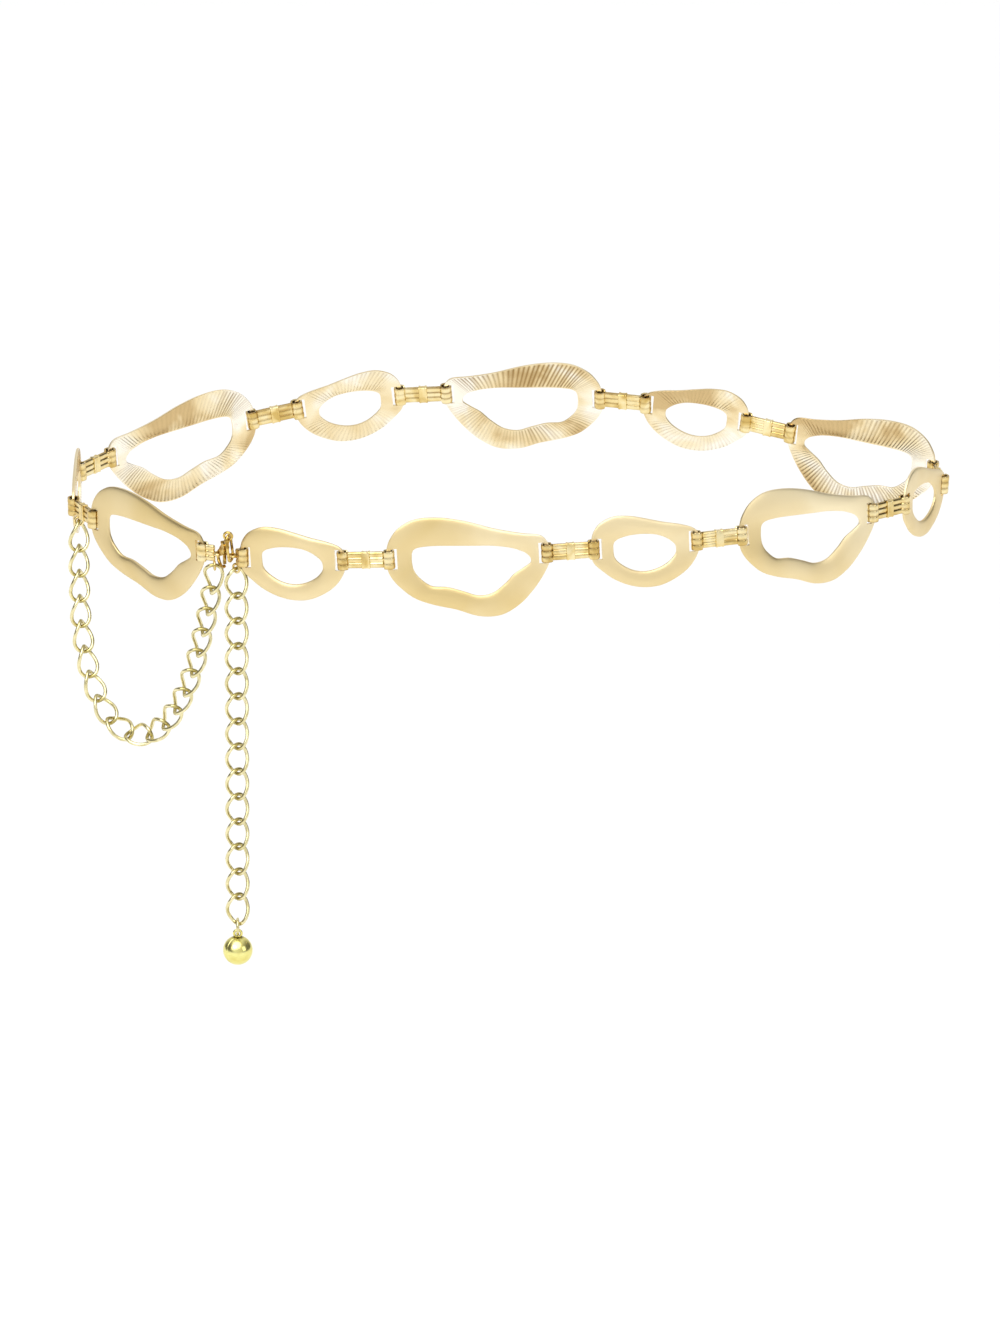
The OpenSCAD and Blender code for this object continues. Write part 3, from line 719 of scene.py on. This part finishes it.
# Shares of the swag's way along x, of its way along y and z, and of its depth
SWAG_ROUTE = [
    (0.00, 0.00, -0.30), (0.00, 0.00, 0.00), (0.00, 0.05, 0.27), (0.02, 0.12, 0.55),
    (0.11, 0.24, 0.82), (0.30, 0.40, 1.00), (0.56, 0.58, 0.97), (0.78, 0.76, 0.71),
    (0.92, 0.90, 0.34), (1.00, 1.00, 0.00), (1.02, 1.03, -0.30),
]
swag_from = FRAMES[CLOSURE - 2] @ Vector((SWAG_START_X, 0, -MEET_DROP))
swag_to = FRAMES[CLOSURE] @ Vector((SWAG_END_X, 0, -MEET_DROP))
drop_from = FRAMES[CLOSURE] @ Vector((DROP_X, 0, -MEET_DROP))
swag_way = swag_to - swag_from


def swag(depth):
    """The swag's curve for a depth."""
    def point(s):
        row = smooth(SWAG_ROUTE, s)
        return swag_from + Vector((row[0] * swag_way.x, row[1] * swag_way.y,
                                   row[1] * swag_way.z - row[2] * depth))
    return point


swag_steps = [PITCH - SWAG_SLACK] * SWAG_LINKS
swag_curve = swag(fitted(swag, swag_steps, 1, len(SWAG_ROUTE) - 2, SWAG_LEAST, SWAG_MOST))
SWAG_POINTS = [swag_curve(s) for s in walk(swag_curve, swag_steps, 1)]
DROP_POINTS = [drop_from - Vector((0, 0, k * PITCH)) for k in range(DROP_LINKS + 1)]
print("swag ends", round((SWAG_POINTS[-1] - swag_to).length, 3), "mm from its eyelet's place")

# %% One link, and the chains
TWIST = math.radians(45)
OVAL_POWER = 0.82
LINK_HALF = (PITCH + WIRE + LINK_PLAY) / 2
LINK_HALF_W = (LINK_W - WIRE) / 2
LINK_STEPS, LINK_AROUND = 40, 12
JOINT_FROM, JOINT_FADE = 0.86, 0.10
TANGENT_STEP = 0.02


def twisted(v, angle):
    return Matrix.Rotation(angle, 3, "Z") @ v


def link_path(q):
    """The wire's middle at an angle round the link."""
    wide = LINK_HALF_W * powered(math.cos(q), OVAL_POWER)
    return twisted(Vector((wide, 0, LINK_HALF * math.sin(q))), TWIST * math.sin(q))


def chain_link():
    """One twisted link, upright. Its groove layer marks both ends, where it meets the next, for
    painted shade.
    """
    def rule(step, place):
        q, a = TURN * (step + 0.5) / LINK_STEPS, TURN * place / LINK_AROUND
        along = (link_path(q + TANGENT_STEP) - link_path(q - TANGENT_STEP)).normalized()
        out = across(twisted(Vector((math.cos(q), 0, math.sin(q))), TWIST * math.sin(q)), along)
        spot = link_path(q) + WIRE / 2 * (math.cos(a) * out + math.sin(a) * along.cross(out))
        # Painted shade where this link meets the next.
        return spot, max(0.0, min(1.0, (abs(math.sin(q)) - JOINT_FROM) / JOINT_FADE))

    bm = spun_ring(LINK_STEPS, LINK_AROUND)
    layer = bm.verts.layers.float.new("groove")
    return shaped(bm, LINK_STEPS, LINK_AROUND, rule, layer)


def flat_of(a, b, turned):
    """Across a link that faces the front, turned about its own length."""
    up = (a - b).normalized()
    return Matrix.Rotation(turned, 3, up) @ across(Vector((0, 1, 0)).cross(up), up)


def link_frame(a, b, turned):
    return frame_of((a + b) / 2, flat_of(a, b, turned), (a - b).normalized())


def chain_mesh(points, turned):
    """A chain with one link from each point to the next."""
    bm = bmesh.new()
    for a, b in zip(points, points[1:]):
        add(bm, chain_link(), link_frame(a, b, turned))
    return finished(bm, (CHAIN,))


piece("swag_of_links", chain_mesh(SWAG_POINTS, SWAG_TURN), Matrix(), "swag_chain")
piece("hanging_links", chain_mesh(DROP_POINTS, 0), Matrix(), "drop_chain")
print("links:", SWAG_LINKS, "in the swag,", DROP_LINKS, "hanging")

# %% Eyelets turned to face their links
def eyelet(frame_matrix, x, direction):
    """An upright ring under a strap, and the matrix that puts it there."""
    own = frame_matrix.to_3x3().inverted() @ direction
    heading = math.atan2(own.y, own.x)
    return (wire_ring(EYELET_R, EYELET_WIRE),
            Matrix.Translation((x, 0, -EYELET_DROP)) @ Matrix.Rotation(heading, 4, "Z")
            @ Matrix.Rotation(math.pi / 2, 4, "Y"))


start_way = flat_of(SWAG_POINTS[0], SWAG_POINTS[1], SWAG_TURN + TWIST)
end_way = flat_of(SWAG_POINTS[-2], SWAG_POINTS[-1], SWAG_TURN - TWIST)
drop_way = flat_of(DROP_POINTS[0], DROP_POINTS[1], TWIST)
start_eyelet = eyelet(FRAMES[CLOSURE - 2], SWAG_START_X, start_way)
end_eyelet = eyelet(FRAMES[CLOSURE], SWAG_END_X, end_way)
drop_eyelet = eyelet(FRAMES[CLOSURE], DROP_X, drop_way)
print("eyelets: 3, of", EYELET_WIRE, "mm wire")

# %% All the straps
STRAPS = 11
for k in range(1, STRAPS + 1):
    extra = (start_eyelet,) if k == STRAPS else ()
    piece(f"ribbed_strap_{k}", strap_mesh(extra), FRAMES[2 * k - 1],
          f"connector_{k}")
print("straps:", STRAPS)

# %% [markdown]
# ## The closure
# Each half strap is the same folded strip with one eye, its other end folded shut and soldered to a
# level ring. The right one is mirrored, and its faces are turned back after that. Below them sit
# the eyelets of the two chains. Both halves come from one recipe, so they always match.

# %% Half straps
def half_strap(length):
    """A half strap with its eye at the origin and its ring at the far end."""
    bm = folded_strip(length, both=False)
    loop_at = Matrix.Translation((length + LOOP_R - LOOP_SINK, 0, 0))
    add(bm, wire_ring(LOOP_R, LOOP_WIRE), loop_at)
    return bm


left_half = half_strap(HALF_A_L)
add(left_half, *end_eyelet)
piece("half_strap_left", finished(left_half, (BRIGHT,)), FRAMES[CLOSURE],
      "half_strap_a")

right_half = half_strap(HALF_B_L)
bmesh.ops.scale(right_half, vec=(-1, 1, 1), verts=right_half.verts)
bmesh.ops.translate(right_half, vec=(CLOSURE_L, 0, 0), verts=right_half.verts)
bmesh.ops.reverse_faces(right_half, faces=right_half.faces)
add(right_half, *drop_eyelet)
piece("half_strap_right", finished(right_half, (BRIGHT,)), FRAMES[CLOSURE],
      "half_strap_b")
print("half straps: 2")

# %% [markdown]
# ## The lobster clasp
# The clasp's body and lever are small castings whose exact fit matters, since the lever turns on
# its pin between the body's cheeks. Their solids already have that fit. A copy of each has its
# loose triangles merged, and a small bevel rounds its edges as polishing does. New meshes would
# look the same, and their fit would have to be tested again.

# %% Clasp body and lever
MERGE = 1e-6
FLAT = math.radians(1)
EDGE_R, EDGE_STEPS = 0.12, 3


def softened(node, name, body):
    """A merged copy of a solid with rounded edges."""
    bm = bmesh.new()
    bm.from_mesh(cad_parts[node].data)
    bmesh.ops.remove_doubles(bm, verts=bm.verts, dist=MERGE)
    bmesh.ops.dissolve_limit(bm, angle_limit=FLAT, verts=bm.verts, edges=bm.edges)
    bmesh.ops.scale(bm, vec=(1 / MM,) * 3, verts=bm.verts)
    thing = piece(name, finished(bm, (AMBER,)), Matrix(), node, body)
    bevel = thing.modifiers.new("rounded edges", "BEVEL")
    bevel.width = EDGE_R * MM
    bevel.segments = EDGE_STEPS
    bevel.limit_method = "ANGLE"
    bevel.angle_limit = SHARP
    bevel.harden_normals = True


softened("clasp_body", "lobster_clasp_body", "root")
softened("clasp_gate", "clasp_lever", "gate")
print("clasp: body and lever")

# %% The oval link on the clasp's tail
CLASP_TURN, CLASP_LEAN = math.radians(35), math.radians(12)
CLASP_LIFT = -0.3
CLAW_R = 3.0
TAIL_EYE_AT = (3.9, 10.8)
TAIL_WIRE, TAIL_LINK_W, GATE_PLAY = 1.0, 1.7, 0.15
LINK_ASIDE, LINK_INSIDE = 0.1, 0.3
loop_a_x = HALF_A_L + LOOP_R - LOOP_SINK
loop_b_x = loop_a_x + LOOPS_APART
tail_x = TAIL_EYE_AT[0] + CLAW_R
tail_out = tail_x * math.cos(CLASP_LEAN) + TAIL_EYE_AT[1] * math.sin(CLASP_LEAN)
tail_up = TAIL_EYE_AT[1] * math.cos(CLASP_LEAN) - tail_x * math.sin(CLASP_LEAN)
link_low = Vector((loop_b_x + LINK_ASIDE, LINK_INSIDE - LOOP_R,
                   -(LOOP_WIRE + TAIL_WIRE) / 2 - 2 * GATE_PLAY))
link_high = Vector((loop_a_x + tail_out * math.cos(CLASP_TURN), -tail_out * math.sin(CLASP_TURN),
                    CLASP_LIFT + tail_up))
TAIL_STEPS, TAIL_AROUND = 48, 12


def tail_link():
    """The oval link from the right half strap's ring up to the clasp's tail eye."""
    steps, around = TAIL_STEPS, TAIL_AROUND
    way = link_high - link_low
    along = way.normalized()
    side = across(Vector((-LINK_ASIDE, 1, 0)), along)
    third = along.cross(side)

    def rule(step, place):
        q, a = TURN * (step + 0.5) / steps, TURN * place / around
        out = side * math.cos(q) + along * math.sin(q)
        end = way.length - TAIL_LINK_W if step < steps // 2 else TAIL_LINK_W
        middle = link_low + along * end + TAIL_LINK_W * out
        return middle + TAIL_WIRE / 2 * (out * math.cos(a) + third * math.sin(a))

    return shaped(spun_ring(steps, around), steps, around, rule)


piece("clasp_tail_link", finished(tail_link(), (AMBER,)), FRAMES[CLOSURE],
      "clasp_link")
print("oval link:", round((link_high - link_low).length, 2), "mm between the places it holds")

# %% [markdown]
# ## The ball
# The hanging chain ends in a plain ring and a hollow ball with a small loop. The ball is pressed
# from two halves, so a fine seam runs over it. Points of a sphere that lie near the seam are pulled
# in to make it, because a cut groove would need many more faces.

# %% Ring and ball
BALL_D = 10.4
BALL_RING_R, BALL_RING_WIRE = 2.6, 1.1
BALL_LOOP_R, BALL_LOOP_WIRE = 1.3, 0.9
drop_end = DROP_POINTS[-1]
ring_z = (BALL_RING_WIRE + LINK_PLAY) / 2 - BALL_RING_R
loop_z = ring_z - BALL_RING_R + (BALL_RING_WIRE + BALL_LOOP_WIRE) / 2 + LINK_PLAY - BALL_LOOP_R
ball_z = loop_z - BALL_LOOP_R + BALL_LOOP_WIRE / 4 - BALL_D / 2
BALL_STEPS, BALL_ROWS = 96, 48
SEAM_DEPTH, SEAM_W = 0.14, 0.22
SEAM_TURN = math.radians(-50)
CAP_FROM, CAP_FADE = 0.90, 0.06


def seamed_ball():
    """A ball with a seam over its poles. Its groove layer marks the cap under its loop for painted
    shade.
    """
    bm = bmesh.new()
    bmesh.ops.create_uvsphere(bm, u_segments=BALL_STEPS, v_segments=BALL_ROWS, radius=BALL_D / 2)
    layer = bm.verts.layers.float.new("groove")
    for v in bm.verts:
        # Painted shade on the cap under the loop.
        v[layer] = max(0.0, min(1.0, (v.co.z / (BALL_D / 2) - CAP_FROM) / CAP_FADE))
        off = abs(v.co.x)
        if off < SEAM_W:
            v.co *= 1 - SEAM_DEPTH / (BALL_D / 2) * (1 - off / SEAM_W)
    bmesh.ops.rotate(bm, verts=bm.verts, cent=(0, 0, 0), matrix=Matrix.Rotation(SEAM_TURN, 3, "Z"))
    return bm


ring = wire_ring(BALL_RING_R, BALL_RING_WIRE)
piece("ring_over_ball", finished(ring, (CHAIN,)),
      Matrix.Translation(drop_end + Vector((0, 0, ring_z))) @ Matrix.Rotation(math.pi / 2, 4, "Y"),
      "ball_ring")
ball = seamed_ball()
bmesh.ops.translate(ball, vec=(0, 0, ball_z), verts=ball.verts)
add(ball, wire_ring(BALL_LOOP_R, BALL_LOOP_WIRE),
    Matrix.Translation((0, 0, loop_z)) @ Matrix.Rotation(math.pi / 2, 4, "X"))
piece("hollow_ball", finished(ball, (BALL,)), Matrix.Translation(drop_end), "ball")
print("ball centre:", tuple(round(v, 2) for v in drop_end + Vector((0, 0, ball_z))), "mm")

# %% [markdown]
# ## Floor, light and camera
# The loop hangs free over a plain white floor, as in a product photograph. Metal shows only what it
# reflects, so the light comes from two large soft panels, a wide sun, and air that is darker to the
# left and right. The camera is far away with a long lens, which keeps the near and the far plates
# to the same scale.

# %% Floor
FLOOR_Z, FLOOR_SIZE = -0.45, 60
FLOOR_GREY, FLOOR_ROUGH = 0.95, 0.9
bpy.ops.mesh.primitive_plane_add(size=FLOOR_SIZE, location=(0, 0, FLOOR_Z))
floor = bpy.context.object
floor.name = "pale_floor"
floor_paint = bpy.data.materials.new("pale_floor_paint")
floor_paint.use_nodes = True
paint = floor_paint.node_tree.nodes["Principled BSDF"]
paint.inputs["Base Color"].default_value = (FLOOR_GREY, FLOOR_GREY, FLOOR_GREY, 1)
paint.inputs["Roughness"].default_value = FLOOR_ROUGH
floor.data.materials.append(floor_paint)
floor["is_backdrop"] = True
print("floor:", FLOOR_Z, "m")

# %% Lights
AIR_STRENGTH = 0.80
SIDES_FROM, SIDES_TO, SIDES_LEFT = 0.45, 0.85, 0.18
SUN_STRENGTH, SUN_WIDTH = 1.4, math.radians(60)
world = bpy.data.worlds.new("soft_air")
bpy.context.scene.world = world
world.use_nodes = True
air, air_links = world.node_tree.nodes, world.node_tree.links
direction = air.new("ShaderNodeTexCoord")
split = air.new("ShaderNodeSeparateXYZ")
air_links.new(direction.outputs["Generated"], split.inputs["Vector"])
sideways = air.new("ShaderNodeMath")
sideways.operation = "ABSOLUTE"
air_links.new(split.outputs["X"], sideways.inputs[0])
fade = mapped(air, air_links, sideways.outputs["Value"], (SIDES_FROM, SIDES_TO), (1.0, SIDES_LEFT))
air_links.new(fade, air["Background"].inputs["Color"])
air["Background"].inputs["Strength"].default_value = AIR_STRENGTH


def panel(name, where, aim, size, power):
    """A large soft light that looks at a point."""
    data = bpy.data.lights.new(name, "AREA")
    data.shape = "RECTANGLE"
    data.size, data.size_y = size
    data.energy = power
    light = bpy.data.objects.new(name, data)
    light.location = where
    light.rotation_euler = (Vector(aim) - Vector(where)).to_track_quat("-Z", "Y").to_euler()
    bpy.context.scene.collection.objects.link(light)


panel("front_left_panel", (-1.3, -1.6, 1.3), (0, 0, 0), (1.4, 1.4), 11)
panel("front_right_panel", (1.6, -1.2, 0.7), (0, 0, 0), (1.0, 1.2), 5)
sun = bpy.data.objects.new("even_daylight", bpy.data.lights.new("even_daylight", "SUN"))
sun.data.energy = SUN_STRENGTH
sun.data.angle = SUN_WIDTH
sun.rotation_euler = (math.radians(30), 0, math.radians(-15))
bpy.context.scene.collection.objects.link(sun)
print("lights: two panels, a sun and the air")

# %% Camera
PIXEL = 0.35
TALL = 1333
ELEVATION = math.radians(21)
LENS, SENSOR = 700.0, 36.0
CLIP_NEAR, CLIP_FAR = 0.1, 200
target = Vector((-2.1, -23.6, -61.6)) * MM
back = Vector((0, -math.cos(ELEVATION), math.sin(ELEVATION)))
far = TALL * PIXEL * MM * LENS / SENSOR
camera = bpy.data.objects.new("camera", bpy.data.cameras.new("camera"))
camera.data.lens, camera.data.sensor_width = LENS, SENSOR
camera.data.clip_start, camera.data.clip_end = CLIP_NEAR, CLIP_FAR
camera.location = target + back * far
camera.rotation_euler = (-back).to_track_quat("-Z", "Y").to_euler()
bpy.context.scene.collection.objects.link(camera)
bpy.context.scene.camera = camera
bpy.context.scene.view_settings.view_transform = "Standard"
print("camera is", round(far, 2), "m away")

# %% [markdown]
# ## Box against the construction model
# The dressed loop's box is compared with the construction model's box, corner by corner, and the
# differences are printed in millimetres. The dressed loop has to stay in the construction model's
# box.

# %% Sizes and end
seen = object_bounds()
for corner, cad, shown in zip(("lowest", "highest"), CAD_BOX, seen):
    less = [round((v - c) / MM, 2) for v, c in zip(shown, cad)]
    print(corner, "corner, visual less solid, mm:", less)
